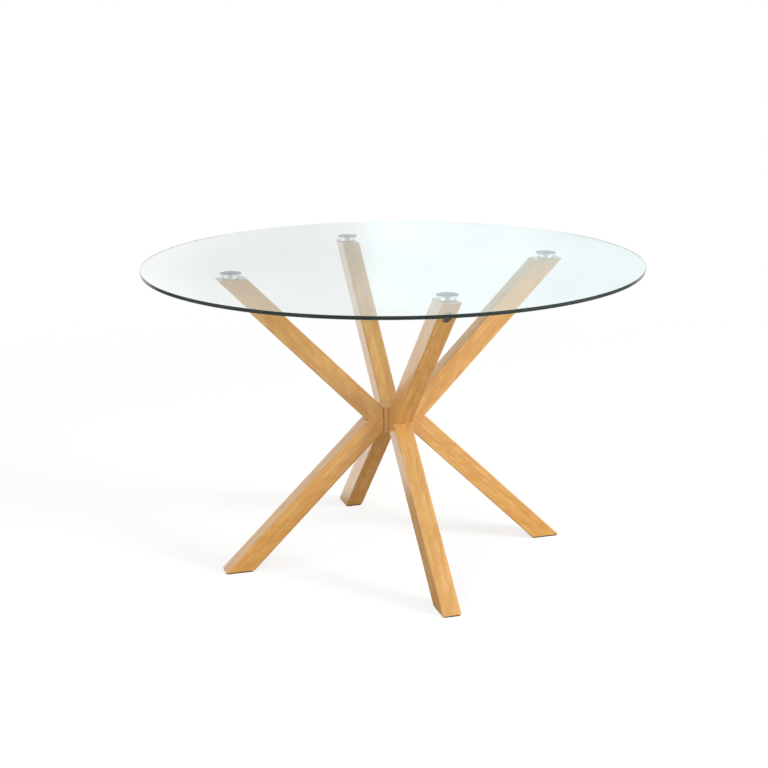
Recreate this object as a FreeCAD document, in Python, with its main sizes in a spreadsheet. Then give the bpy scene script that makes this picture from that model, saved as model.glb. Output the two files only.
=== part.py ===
import FreeCAD, Part
import os
import Sketcher
from FreeCAD import Placement, Rotation, Vector

# A round dining table: a clear glass disc on four oak V legs that meet nose to nose round a steel core.
# Millimetres, +Z up, origin on the floor under the middle of the glass. Each leg is drawn along +X
# and turned to its station.

SIZES = [
    ("table_height", 740, "floor to the top of the glass"),
    ("glass_diameter", 1200, "glass top, across"),
    ("glass_thickness", 8, "glass top"),
    ("glass_bevel", 1, "ground arris round both rims of the glass"),
    ("fixing_radius", 395, "table axis to the axis of a glass fixing"),
    ("disc_diameter", 50, "flange bonded under the glass"),
    ("disc_thickness", 3, "flange bonded under the glass"),
    ("disc_bevel", 0.8, "lower rim of the flange"),
    ("boss_diameter", 20, "threaded boss under the flange"),
    ("boss_height", 9.5, "threaded boss under the flange"),
    ("collar_diameter", 38, "polished collar between flange and leg"),
    ("collar_height", 10, "polished collar between flange and leg"),
    ("collar_bevel", 0.8, "both rims of the collar"),
    ("leg_width", 45, "leg bar, across its V"),
    ("leg_thickness", 50, "leg bar, in the plane of its V"),
    ("edge_round", 3, "rounded long edges of a leg bar"),
    ("end_ease", 1.2, "eased rim of a level cut end"),
    ("mitre_groove", 2, "groove along the inside corner of a V, in each bar"),
    ("hub_height", 356, "floor to the mitre plane of the Vs"),
    ("crotch_reach", 74, "table axis to the inside corner of a V"),
    ("top_overhang", 35, "fixing axis to the tip of an upper bar"),
    ("foot_radius", 400, "table axis to the middle of a foot"),
    ("foot_overhang", 35.5, "middle of a foot to its tip"),
    ("pad_thickness", 3, "nylon glide under a foot"),
    ("pad_inset", 2.5, "rim of a foot to the rim of its glide"),
    ("pad_corner", 4, "rounded corners of a glide"),
    ("seam_gap", 9, "nose of a V past the side of its neighbour"),
    ("core_height", 56, "steel tube at the hub"),
    ("core_wall", 4, "steel tube at the hub"),
    ("core_corner", 5, "rounded corners of the steel tube"),
    ("cap_plate", 2.5, "plate of a cap on the steel tube"),
    ("cap_lip", 1, "plate of a cap past the steel tube"),
    ("cap_ease", 0.8, "eased outer rim of a cap"),
    ("cap_plug", 7, "plug of a cap inside the steel tube"),
    ("hub_bolt_spacing", 20, "upper to lower bolt of one V"),
    ("hub_bolt_diameter", 6, "bolt through the steel tube"),
    ("hub_bolt_length", 16, "bolt through the steel tube, under its head"),
    ("hub_head_diameter", 14, "wide flat head of a bolt through the steel tube"),
    ("hub_head_height", 2.8, "wide flat head of a bolt through the steel tube"),
    ("insert_diameter", 10, "threaded insert in the nose of a V"),
    ("insert_length", 14, "threaded insert in the nose of a V"),
    ("dowel_diameter", 10, "dowel across a mitre"),
    ("dowel_length", 40, "dowel across a mitre"),
    ("dowel_radius", 54, "table axis to the dowels of a mitre"),
    ("dowel_spacing", 22, "between the two dowels of one mitre"),
    ("fixing_bolt_diameter", 8, "bolt into the boss"),
    ("fixing_bolt_length", 30, "bolt into the boss, under its head"),
    ("fixing_head_diameter", 17, "wide flat head of the bolt into the boss"),
    ("fixing_head_height", 3.5, "wide flat head of the bolt into the boss"),
    ("fixing_key_width", 5, "hexagon key hole in that head, across its flats"),
    ("fixing_key_depth", 2.4, "hexagon key hole in that head"),
    ("counterbore_diameter", 20, "sunk hole for the bolt into the boss"),
    ("counterbore_depth", 21, "top of a leg down to the seat of that bolt"),
    ("fit_gap", 0.2, "round piece to its hole, all round"),
]

STATIONS = {"right": 0, "back": 90, "left": 180, "front": 270}

# Two places closer than this count as one.
NEAR = 0.001

# Levels and reaches that several pieces share, worked out from the sizes.
GLASS_UNDERSIDE = "(Sizes.table_height - Sizes.glass_thickness)"
FLANGE_UNDERSIDE = f"({GLASS_UNDERSIDE} - Sizes.disc_thickness)"
LEG_TOP = f"({FLANGE_UNDERSIDE} - Sizes.collar_height)"
FIXING_SEAT = f"({LEG_TOP} - Sizes.counterbore_depth)"
TOP_REACH = "(Sizes.fixing_radius + Sizes.top_overhang)"
FOOT_REACH = "(Sizes.foot_radius + Sizes.foot_overhang)"
NOSE_REACH = "(Sizes.leg_width / 2 + Sizes.seam_gap)"
CORE_INSIDE = f"({NOSE_REACH} - Sizes.core_wall)"
CORE_TOP = "(Sizes.hub_height + Sizes.core_height / 2)"
CORE_BOTTOM = "(Sizes.hub_height - Sizes.core_height / 2)"
HUB_BOLT_LEVELS = {
    "upper": "(Sizes.hub_height + Sizes.hub_bolt_spacing / 2)",
    "lower": "(Sizes.hub_height - Sizes.hub_bolt_spacing / 2)",
}
UPPER_SLOPE = f"(({LEG_TOP} - Sizes.hub_height) / ({TOP_REACH} - Sizes.crotch_reach))"
LOWER_SLOPE = f"((Sizes.pad_thickness - Sizes.hub_height) / ({FOOT_REACH} - Sizes.crotch_reach))"

doc = FreeCAD.newDocument("RoundTable")
sheet = doc.addObject("Spreadsheet::Sheet", "Sizes")
for row, (alias, value, note) in enumerate(SIZES, start=1):
    sheet.set(f"A{row}", note)
    sheet.set(f"B{row}", str(value))
    sheet.setAlias(f"B{row}", alias)
doc.recompute()

nodes = []


def new_body(label, turn=0):
    """An empty body named after its node, turned about the table's axis."""
    body = doc.addObject("PartDesign::Body", label)
    body.Label = label
    body.Placement = Placement(Vector(), Rotation(Vector(0, 0, 1), turn))
    nodes.append(body)
    return body


def origin_feature(body, role):
    return next(feature for feature in body.Origin.OriginFeatures if feature.Role == role)


def new_sketch(body, plane, right="0", up="0", out="0"):
    """An empty sketch on an origin plane of its body, its zero point shifted in the plane and out of it."""
    sketch = body.newObject("Sketcher::SketchObject", "Sketch")
    sketch.AttachmentSupport = (origin_feature(body, plane), [""])
    sketch.MapMode = "FlatFace"
    for axis, shift in zip("xyz", (right, up, out)):
        sketch.setExpression(f"AttachmentOffset.Base.{axis}", shift)
    return sketch


def bind(sketch, constraint, expression):
    number = sketch.addConstraint(constraint)
    sketch.setExpression(f"Constraints[{number}]", expression)


def draw_outline(sketch, corners):
    """A closed outline of straight lines. Each corner is a pair of expressions, across and up."""
    starts = [Vector(number, number ** 2, 0) for number in range(len(corners))]
    ends = starts[1:] + starts[:1]
    lines = [sketch.addGeometry(Part.LineSegment(*pair), False) for pair in zip(starts, ends)]
    for line, following in zip(lines, lines[1:] + lines[:1]):
        sketch.addConstraint(Sketcher.Constraint("Coincident", line, 2, following, 1))
    for line, start, (across, up) in zip(lines, starts, corners):
        bind(sketch, Sketcher.Constraint("DistanceX", line, 1, start.x), across)
        bind(sketch, Sketcher.Constraint("DistanceY", line, 1, start.y), up)


def draw_circle(sketch, across, up, diameter):
    unit = Part.Circle(Vector(1, 1, 0), Vector(0, 0, 1), 1)
    circle = sketch.addGeometry(unit, False)
    bind(sketch, Sketcher.Constraint("DistanceX", circle, 3, unit.Center.x), across)
    bind(sketch, Sketcher.Constraint("DistanceY", circle, 3, unit.Center.y), up)
    bind(sketch, Sketcher.Constraint("Diameter", circle, 2 * unit.Radius), diameter)


def draw_rectangle(sketch, low, high, half_width):
    """A rectangle from low to high across the sketch, as far up as down."""
    down = f"-{half_width}"
    draw_outline(sketch, [(low, down), (high, down), (high, half_width), (low, half_width)])


def pad(body, sketch, length, side="One side", backward=False):
    feature = body.newObject("PartDesign::Pad", "Pad")
    feature.Profile = sketch
    feature.SideType = side
    feature.Reversed = backward
    feature.setExpression("Length", length)
    doc.recompute()
    return feature


def pocket(body, sketch, depth=None, forward=False, side="One side"):
    """A cut against the sketch's normal, or forward along it; right through where no depth is given."""
    feature = body.newObject("PartDesign::Pocket", "Pocket")
    feature.Profile = sketch
    feature.SideType = side
    feature.Reversed = forward
    if depth is None:
        feature.Type = "ThroughAll"
    else:
        feature.setExpression("Length", depth)
    doc.recompute()
    return feature


def revolve(body, sketch, axis):
    feature = body.newObject("PartDesign::Revolution", "Revolution")
    feature.Profile = sketch
    feature.ReferenceAxis = (sketch, [axis])
    feature.Angle = 360
    doc.recompute()
    return feature


def repeat_round(body, features):
    """The features again at every station round the table's axis."""
    pattern = body.newObject("PartDesign::PolarPattern", "PolarPattern")
    pattern.Originals = features
    pattern.Axis = (origin_feature(body, "Z_Axis"), [""])
    pattern.Angle = 360
    pattern.Occurrences = len(STATIONS)
    body.Tip = pattern
    doc.recompute()


def ease(body, kind, base, wanted, size):
    """A Fillet or a Chamfer on the edges of the base feature that the test picks out."""
    feature = body.newObject(f"PartDesign::{kind}", kind)
    names = [f"Edge{number}" for number, edge in enumerate(base.Shape.Edges, start=1) if wanted(edge)]
    feature.Base = (base, names)
    feature.setExpression("Radius" if kind == "Fillet" else "Size", size)
    doc.recompute()
    return feature


def ends_of(edge):
    return edge.Vertexes[0].Point, edge.Vertexes[-1].Point


def is_upright(edge):
    start, end = ends_of(edge)
    return abs(start.z - end.z) > NEAR and Vector(start.x - end.x, start.y - end.y, 0).Length < NEAR


def runs_along_side(edge):
    """True on the edges that bound the two sides of a bar, other than its level cuts."""
    start, end = ends_of(edge)
    return abs(start.y - end.y) < NEAR < abs(start.z - end.z)


def at_level(level):
    """A test for the edges that lie wholly at one height."""
    return lambda edge: all(abs(vertex.Z - level) < NEAR for vertex in edge.Vertexes)


def heights(feature):
    return [vertex.Z for vertex in feature.Shape.Vertexes]


def widest_rims(feature):
    """A test for the full circles of a turned piece that go round its outside."""
    widest = max(edge.Length for edge in feature.Shape.Edges if edge.isClosed())
    return lambda edge: edge.isClosed() and edge.Length > widest - NEAR


# The glass top and its fixings.


def make_glass_top():
    body = new_body("glass_top")
    sketch = new_sketch(body, "XY_Plane", out=GLASS_UNDERSIDE)
    draw_circle(sketch, "0", "0", "Sizes.glass_diameter")
    plate = pad(body, sketch, "Sizes.glass_thickness")
    ease(body, "Chamfer", plate, widest_rims(plate), "Sizes.glass_bevel")


def make_glass_disc(station, turn):
    """Flange bonded to the glass, with a boss whose blind thread takes the bolt from the leg."""
    body = new_body(f"glass_disc_{station}", turn)
    sketch = new_sketch(body, "XZ_Plane", right="Sizes.fixing_radius", up=FLANGE_UNDERSIDE)
    thread = "Sizes.fixing_bolt_diameter / 2 + Sizes.fit_gap"
    draw_outline(sketch, [
        ("0", "0"),
        (thread, "0"),
        (thread, "-Sizes.boss_height"),
        ("Sizes.boss_diameter / 2", "-Sizes.boss_height"),
        ("Sizes.boss_diameter / 2", "0"),
        ("Sizes.disc_diameter / 2 - Sizes.disc_bevel", "0"),
        ("Sizes.disc_diameter / 2", "Sizes.disc_bevel"),
        ("Sizes.disc_diameter / 2", "Sizes.disc_thickness"),
        ("0", "Sizes.disc_thickness"),
    ])
    revolve(body, sketch, "V_Axis")


def make_collar(station, turn):
    body = new_body(f"collar_{station}", turn)
    sketch = new_sketch(body, "XZ_Plane", right="Sizes.fixing_radius", up=LEG_TOP)
    bore = "Sizes.boss_diameter / 2 + Sizes.fit_gap"
    outside = "Sizes.collar_diameter / 2"
    draw_outline(sketch, [
        (bore, "0"),
        (f"{outside} - Sizes.collar_bevel", "0"),
        (outside, "Sizes.collar_bevel"),
        (outside, "Sizes.collar_height - Sizes.collar_bevel"),
        (f"{outside} - Sizes.collar_bevel", "Sizes.collar_height"),
        (bore, "Sizes.collar_height"),
    ])
    revolve(body, sketch, "V_Axis")


def make_fixing_bolts():
    body = new_body("fixing_bolts")
    sketch = new_sketch(body, "XZ_Plane", right="Sizes.fixing_radius", up=FIXING_SEAT)
    head = "Sizes.fixing_head_diameter / 2"
    shank = "Sizes.fixing_bolt_diameter / 2"
    draw_outline(sketch, [
        ("0", "-Sizes.fixing_head_height"),
        (head, "-Sizes.fixing_head_height"),
        (head, "0"),
        (shank, "0"),
        (shank, "Sizes.fixing_bolt_length"),
        ("0", "Sizes.fixing_bolt_length"),
    ])
    bolt = revolve(body, sketch, "V_Axis")
    head_underside = f"{FIXING_SEAT} - Sizes.fixing_head_height"
    key = new_sketch(body, "XY_Plane", right="Sizes.fixing_radius", out=head_underside)
    corner_reach = "Sizes.fixing_key_width / sqrt(3)"
    draw_outline(key, [
        (f"{corner_reach} * cos({angle})", f"{corner_reach} * sin({angle})")
        for angle in range(0, 360, 60)
    ])
    repeat_round(body, [bolt, pocket(body, key, "Sizes.fixing_key_depth", forward=True)])


# The V legs: an upper and a lower bar, mitred at hub height.


def cut_length(slope):
    """How far a level cut runs across a sloping bar."""
    return f"(Sizes.leg_thickness * sqrt(1 + 1 / {slope} ^ 2))"


def make_bar(body, end_reach, end_level, slope):
    """A bar from the hub to its level end, with rounded edges. Returns its last feature."""
    sketch = new_sketch(body, "XZ_Plane")
    inner_end = f"({end_reach} - {cut_length(slope)})"
    inner_nose = f"{end_level} - ({inner_end} - {NOSE_REACH}) * {slope}"
    draw_outline(sketch, [
        ("Sizes.crotch_reach", "Sizes.hub_height"),
        (end_reach, end_level),
        (inner_end, end_level),
        (NOSE_REACH, inner_nose),
        (NOSE_REACH, "Sizes.hub_height"),
    ])
    bar = pad(body, sketch, "Sizes.leg_width", side="Symmetric")
    return ease(body, "Fillet", bar, runs_along_side, "Sizes.edge_round")


def groove_corner(body, side):
    """Half of the small groove along the inside corner of a V. The side is + above the mitre and - below."""
    sketch = new_sketch(body, "XZ_Plane")
    outside = "Sizes.crotch_reach + 3 * Sizes.mitre_groove"
    draw_outline(sketch, [
        ("Sizes.crotch_reach - Sizes.mitre_groove", "Sizes.hub_height"),
        (outside, "Sizes.hub_height"),
        (outside, f"Sizes.hub_height {side} 2 * Sizes.mitre_groove"),
    ])
    pocket(body, sketch, "Sizes.leg_width", side="Symmetric")


def drill_mitre(body, upward):
    """Two dowel holes square to the mitre."""
    sketch = new_sketch(body, "XY_Plane", out="Sizes.hub_height")
    for side in ("", "-"):
        across = f"{side}Sizes.dowel_spacing / 2"
        draw_circle(sketch, "Sizes.dowel_radius", across, "Sizes.dowel_diameter + 2 * Sizes.fit_gap")
    pocket(body, sketch, "Sizes.dowel_length / 2 + Sizes.fit_gap", forward=upward)


def drill_nose(body, level):
    """The hole for the threaded insert, square to the nose."""
    sketch = new_sketch(body, "YZ_Plane", out=NOSE_REACH)
    draw_circle(sketch, "0", level, "Sizes.insert_diameter + 2 * Sizes.fit_gap")
    pocket(body, sketch, "Sizes.insert_length + Sizes.fit_gap", forward=True)


def drill_fixing(body):
    """The bolt hole under the glass fixing, counterbored from the underside of the bar."""
    hole = new_sketch(body, "XY_Plane")
    draw_circle(hole, "Sizes.fixing_radius", "0", "Sizes.fixing_bolt_diameter + 2 * Sizes.fit_gap")
    pocket(body, hole, forward=True)
    counterbore = new_sketch(body, "XY_Plane")
    draw_circle(counterbore, "Sizes.fixing_radius", "0", "Sizes.counterbore_diameter")
    pocket(body, counterbore, FIXING_SEAT, forward=True)


def make_leg_upper(station, turn):
    body = new_body(f"leg_upper_{station}", turn)
    bar = make_bar(body, TOP_REACH, LEG_TOP, UPPER_SLOPE)
    ease(body, "Chamfer", bar, at_level(max(heights(bar))), "Sizes.end_ease")
    groove_corner(body, "+")
    drill_mitre(body, upward=True)
    drill_nose(body, HUB_BOLT_LEVELS["upper"])
    drill_fixing(body)


def make_leg_lower(station, turn):
    body = new_body(f"leg_lower_{station}", turn)
    bar = make_bar(body, FOOT_REACH, "Sizes.pad_thickness", LOWER_SLOPE)
    ease(body, "Chamfer", bar, at_level(min(heights(bar))), "Sizes.end_ease")
    groove_corner(body, "-")
    drill_mitre(body, upward=False)
    drill_nose(body, HUB_BOLT_LEVELS["lower"])


def make_foot_pad(station, turn):
    body = new_body(f"foot_pad_{station}", turn)
    sketch = new_sketch(body, "XY_Plane")
    inner = f"{FOOT_REACH} - {cut_length(LOWER_SLOPE)} + Sizes.pad_inset"
    outer = f"{FOOT_REACH} - Sizes.pad_inset"
    draw_rectangle(sketch, inner, outer, "(Sizes.leg_width / 2 - Sizes.pad_inset)")
    glide = pad(body, sketch, "Sizes.pad_thickness")
    ease(body, "Fillet", glide, is_upright, "Sizes.pad_corner")


def make_mitre_dowels():
    body = new_body("mitre_dowels")
    sketch = new_sketch(body, "XY_Plane", out="Sizes.hub_height")
    for side in ("", "-"):
        draw_circle(sketch, "Sizes.dowel_radius", f"{side}Sizes.dowel_spacing / 2", "Sizes.dowel_diameter")
    repeat_round(body, [pad(body, sketch, "Sizes.dowel_length", side="Symmetric")])


# The hub: a steel tube, its caps, and the bolts that pull the noses of the Vs on to it.


def make_hub_core():
    body = new_body("hub_core")
    outside = new_sketch(body, "XY_Plane", out=CORE_BOTTOM)
    draw_rectangle(outside, f"-{NOSE_REACH}", NOSE_REACH, NOSE_REACH)
    post = pad(body, outside, "Sizes.core_height")
    ease(body, "Fillet", post, is_upright, "Sizes.core_corner")
    inside = new_sketch(body, "XY_Plane", out=CORE_TOP)
    draw_rectangle(inside, f"-{CORE_INSIDE}", CORE_INSIDE, CORE_INSIDE)
    pocket(body, inside)
    holes = new_sketch(body, "YZ_Plane")
    for level in HUB_BOLT_LEVELS.values():
        draw_circle(holes, "0", level, "Sizes.hub_bolt_diameter + 2 * Sizes.fit_gap")
    repeat_round(body, [pocket(body, holes, forward=True)])


def make_hub_cap(name, level, downward):
    """A plate over the end of the tube and a plug that fits inside it."""
    body = new_body(f"hub_cap_{name}")
    half_plate = f"({NOSE_REACH} + Sizes.cap_lip)"
    plate_sketch = new_sketch(body, "XY_Plane", out=level)
    draw_rectangle(plate_sketch, f"-{half_plate}", half_plate, half_plate)
    plate = pad(body, plate_sketch, "Sizes.cap_plate", backward=downward)
    plate = ease(body, "Fillet", plate, is_upright, "Sizes.core_corner + Sizes.cap_lip")
    outer_face = min(heights(plate)) if downward else max(heights(plate))
    ease(body, "Chamfer", plate, at_level(outer_face), "Sizes.cap_ease")
    half_plug = f"({CORE_INSIDE} - Sizes.fit_gap)"
    plug_sketch = new_sketch(body, "XY_Plane", out=level)
    draw_rectangle(plug_sketch, f"-{half_plug}", half_plug, half_plug)
    pad(body, plug_sketch, "Sizes.cap_plug", backward=not downward)


def make_hub_bolts(name, level):
    body = new_body(f"hub_bolts_{name}")
    sketch = new_sketch(body, "XZ_Plane", right=CORE_INSIDE, up=level)
    head = "Sizes.hub_head_diameter / 2"
    shank = "Sizes.hub_bolt_diameter / 2"
    draw_outline(sketch, [
        ("-Sizes.hub_head_height", "0"),
        ("-Sizes.hub_head_height", head),
        ("0", head),
        ("0", shank),
        ("Sizes.hub_bolt_length", shank),
        ("Sizes.hub_bolt_length", "0"),
    ])
    repeat_round(body, [revolve(body, sketch, "H_Axis")])


def make_hub_inserts(name, level):
    """Threaded inserts in the noses of the Vs, round the bolts of one level."""
    body = new_body(f"hub_inserts_{name}")
    sketch = new_sketch(body, "XZ_Plane", right=NOSE_REACH, up=level)
    thread = "Sizes.hub_bolt_diameter / 2 + Sizes.fit_gap"
    outside = "Sizes.insert_diameter / 2"
    draw_outline(sketch, [
        ("0", thread),
        ("Sizes.insert_length", thread),
        ("Sizes.insert_length", outside),
        ("0", outside),
    ])
    repeat_round(body, [revolve(body, sketch, "H_Axis")])


make_glass_top()
for station, turn in STATIONS.items():
    make_glass_disc(station, turn)
    make_collar(station, turn)
    make_leg_upper(station, turn)
    make_leg_lower(station, turn)
    make_foot_pad(station, turn)
make_fixing_bolts()
make_mitre_dowels()
make_hub_core()
make_hub_cap("top", CORE_TOP, downward=False)
make_hub_cap("bottom", CORE_BOTTOM, downward=True)
for name, level in HUB_BOLT_LEVELS.items():
    make_hub_bolts(name, level)
    make_hub_inserts(name, level)
doc.recompute()

for item in doc.Objects:
    if {"Invalid", "Error"} & set(item.State):
        raise RuntimeError(f"{item.Name} failed: {item.State}")
for cut in doc.findObjects("PartDesign::Pocket"):
    if cut.Shape.Volume > cut.BaseFeature.Shape.Volume - NEAR:
        raise RuntimeError(f"{cut.Name} cuts nothing")
for body in nodes:
    if body.Shape.isNull() or not body.Shape.isValid():
        raise RuntimeError(f"{body.Label} has no valid shape")

os.makedirs("parts", exist_ok=True)
for body in nodes:
    body.Shape.exportStep(f"parts/{body.Label}.step")
    print(body.Label, len(body.Shape.Solids), "solids", round(body.Shape.Volume), "mm3")
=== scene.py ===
# %% [markdown]
# # A round glass table on four oak V legs
#
# The table is a clear glass disc on four V-shaped oak legs that meet nose to nose round a steel core. The
# CAD model already holds every piece at its true size and place. This lesson dresses it: each finish is
# built from nodes, the turned pieces that catch the light are made again with smooth curves, and a plain
# studio stands round the table. Everything is in metres, with the floor at zero and +Z up.

# %% Load the CAD frame
import math

import bmesh
import bpy
from mathutils import Matrix, Vector


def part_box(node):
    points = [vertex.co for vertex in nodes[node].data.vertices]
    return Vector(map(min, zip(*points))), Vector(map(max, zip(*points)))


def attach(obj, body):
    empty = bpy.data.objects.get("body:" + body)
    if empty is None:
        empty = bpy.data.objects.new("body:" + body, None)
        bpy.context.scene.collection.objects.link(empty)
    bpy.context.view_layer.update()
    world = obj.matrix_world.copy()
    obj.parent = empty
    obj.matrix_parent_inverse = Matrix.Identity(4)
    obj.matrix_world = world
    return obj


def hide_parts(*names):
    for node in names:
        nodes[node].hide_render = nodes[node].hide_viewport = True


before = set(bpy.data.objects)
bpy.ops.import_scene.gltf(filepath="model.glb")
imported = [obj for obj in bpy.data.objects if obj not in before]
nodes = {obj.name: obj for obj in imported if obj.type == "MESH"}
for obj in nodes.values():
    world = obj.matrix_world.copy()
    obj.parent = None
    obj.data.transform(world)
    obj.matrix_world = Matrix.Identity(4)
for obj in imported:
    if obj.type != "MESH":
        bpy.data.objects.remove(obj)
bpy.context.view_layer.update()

scene = bpy.context.scene
scene.view_settings.view_transform = "Standard"

# %% [markdown]
# Colours are written as the hex values that a paint chart would give. Blender's sockets want linear
# light, so one function converts them, with the constants of the sRGB standard. A second function adds a
# node with its settings, values and links. There could be one for each kind of node, but a single one
# keeps every material readable in the same way.

# %% Helpers for colours and nodes


def linear(hex_colour):
    """An sRGB hex colour as linear RGBA."""
    channels = [int(hex_colour[start:start + 2], 16) / 255 for start in (0, 2, 4)]
    return [c / 12.92 if c <= 0.04045 else ((c + 0.055) / 1.055) ** 2.4 for c in channels] + [1.0]


def add(tree, kind, values=None, links=None, **settings):
    """A new node: settings are its properties, values and links go to its input sockets."""
    node = tree.nodes.new(kind)
    for name, value in settings.items():
        setattr(node, name, value)
    for socket, value in (values or {}).items():
        node.inputs[socket].default_value = value
    for socket, source in (links or {}).items():
        tree.links.new(source, node.inputs[socket])
    return node


print("mid grey is", [round(c, 3) for c in linear("808080")])

# %% [markdown]
# The camera stands where the photograph was taken from: a little above head height, almost four metres
# away and round to the left of the front leg, with a long lens that keeps the legs from spreading. These
# sizes come from the ellipse of the glass and from the lines of the bars. A camera could be aimed by a
# constraint, but plain angles are easier to match and to read.

# %% Camera
CAMERA_DISTANCE = 3.80
CAMERA_HEIGHT = 1.4575
CAMERA_TURN = math.radians(17.4)
CAMERA_PITCH = math.radians(15.04)
CAMERA_PAN = math.radians(-0.35)
CAMERA_ROLL = math.radians(-0.49)
FOCAL_LENGTH_MM = 75.5
SENSOR_MM = 36

camera = bpy.data.objects.new("camera", bpy.data.cameras.new("camera"))
scene.collection.objects.link(camera)
camera.data.lens = FOCAL_LENGTH_MM
camera.data.sensor_width = SENSOR_MM
camera.location = (
    -CAMERA_DISTANCE * math.sin(CAMERA_TURN),
    -CAMERA_DISTANCE * math.cos(CAMERA_TURN),
    CAMERA_HEIGHT,
)
heading = Matrix.Rotation(-(CAMERA_TURN + CAMERA_PAN), 3, "Z")
tilt = Matrix.Rotation(math.pi / 2 - CAMERA_PITCH, 3, "X")
roll = Matrix.Rotation(CAMERA_ROLL, 3, "Z")
camera.rotation_euler = (heading @ tilt @ roll).to_euler()
scene.camera = camera
print("camera at", [round(v, 3) for v in camera.location])

# %% [markdown]
# The studio is a pale room. Wood and paper only feel it as a soft sky over a dimmer ground, which one
# ramp on the height of the direction gives. An image of a studio could light the scene too, but ramps
# keep the file on its own. The room stands square to the place of the camera, so its directions are
# turned by that angle.

# %% Room light
SKY_LEVEL = 0.55
GROUND_LEVEL = 0.15
SKY_BAND = (-0.3, 0.2)
STUDIO_TURN = CAMERA_TURN

world = bpy.data.worlds.new("pale_room")
world.use_nodes = True
scene.world = world
tree = world.node_tree
tree.nodes.clear()
ray = add(tree, "ShaderNodeLightPath").outputs
look = add(tree, "ShaderNodeTexCoord").outputs["Generated"]
room = add(tree, "ShaderNodeMapping", {"Rotation": (0, 0, STUDIO_TURN)}, {"Vector": look}).outputs[0]
side = add(tree, "ShaderNodeSeparateXYZ", {}, {0: room}).outputs
sky = add(tree, "ShaderNodeMapRange",
          {"From Min": SKY_BAND[0], "From Max": SKY_BAND[1], "To Min": GROUND_LEVEL, "To Max": SKY_LEVEL},
          {"Value": side["Z"]}, interpolation_type="SMOOTHSTEP")
print("sky level", SKY_LEVEL, "ground level", GROUND_LEVEL)

# %% [markdown]
# Lacquer, steel and glass show the room itself, so for mirror rays it has a plan. High up is a far wall:
# a grey stretch on the left, a bright middle and a cool right, which the flat glass shows as wide bands.
# Low down stand white panels with dark gaps between them, one under the camera and one on each side
# behind. The gaps draw the dark stripe and the dark ends on each collar. Real panels could stand round
# the table, but they would have to be hidden from the camera, and a ramp of tones for each direction
# needs no hiding.

# %% Far wall and panels
WALL_REACH = 0.2
# Where each tone of the wall begins, from left to right.
WALL_TONES = ((-0.15, "f3f2f2"), (-0.105, "d6dad8"), (-0.032, "d6dad8"),
              (-0.002, "eefbfc"), (0.072, "eefbfc"), (0.12, "dbecef"))
PANEL_REACH = 1.0
# Where each tone of the panels begins, from the camera to the far side.
PANEL_TONES = ((-0.9, "9f9f9f"), (-0.72, "ffffff"), (0.1, "ffffff"), (0.35, "9f9f9f"),
               (0.6, "9f9f9f"), (0.78, "ffffff"))

bands = {}
for axis, reach, tones in (("X", WALL_REACH, WALL_TONES), ("Y", PANEL_REACH, PANEL_TONES)):
    place = add(tree, "ShaderNodeMapRange", {"From Min": -reach, "From Max": reach}, {"Value": side[axis]})
    ramp = add(tree, "ShaderNodeValToRGB", {}, {0: place.outputs[0]})
    stops = ramp.color_ramp
    stops.interpolation = "EASE"
    while len(stops.elements) < len(tones):
        stops.elements.new(1.0)
    for stop, (start, tone) in zip(stops.elements, tones):
        stop.position = (start + reach) / (2 * reach)
        stop.color = linear(tone)
    bands[axis] = ramp.outputs["Color"]
print("wall tones", len(WALL_TONES), "panel tones", len(PANEL_TONES))

# %% [markdown]
# A real wall is never quite even, and a perfectly smooth reflection looks painted on. A wide, flat noise
# lays faint clouds over the wall. A picture of clouds could do that, but noise needs no file. The panels
# reach up to the wall's foot, where one eases into the other.

# %% Clouds on the wall
WALL_LEVEL = 1.1
PANEL_LEVEL = 1.3
WALL_FOOT_BAND = (-0.05, 0.1)
CLOUD_WIDTH = 0.06
CLOUD_HEIGHT = 0.02
CLOUD_DETAIL = 1.0
CLOUD_BAND = (0.3, 0.7)
CLOUD_DEPTH = 0.2

cloud_place = add(tree, "ShaderNodeMapping",
                  {"Scale": (1 / CLOUD_WIDTH, 1 / CLOUD_WIDTH, 1 / CLOUD_HEIGHT)}, {"Vector": room})
cloud = add(tree, "ShaderNodeTexNoise", {"Scale": 1.0, "Detail": CLOUD_DETAIL},
            {"Vector": cloud_place.outputs[0]})
shade = add(tree, "ShaderNodeMapRange",
            {"From Min": CLOUD_BAND[0], "From Max": CLOUD_BAND[1],
             "To Min": 1 - CLOUD_DEPTH / 2, "To Max": 1 + CLOUD_DEPTH / 2}, {"Value": cloud.outputs["Fac"]})
wall = add(tree, "ShaderNodeMath", {0: WALL_LEVEL}, {1: shade.outputs[0]}, operation="MULTIPLY")
rise = add(tree, "ShaderNodeMapRange", {"From Min": WALL_FOOT_BAND[0], "From Max": WALL_FOOT_BAND[1]},
           {"Value": side["Z"]}, interpolation_type="SMOOTHSTEP")
mirrored = add(tree, "ShaderNodeMix", {2: PANEL_LEVEL}, {0: rise.outputs[0], 3: wall.outputs[0]},
               data_type="FLOAT")
print("wall level", WALL_LEVEL, "panel level", PANEL_LEVEL)

# %% [markdown]
# Light Path says which kind of ray is asking. Mirror rays get the wall and the panels, the camera and
# what the glass lets through get pure white, and all other rays get the soft sky. A white backdrop could
# give the same background, but it would add light of its own to the table.

# %% What each ray sees
WHITE = linear("ffffff")
BACKGROUND_LEVEL = 1.0

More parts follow.
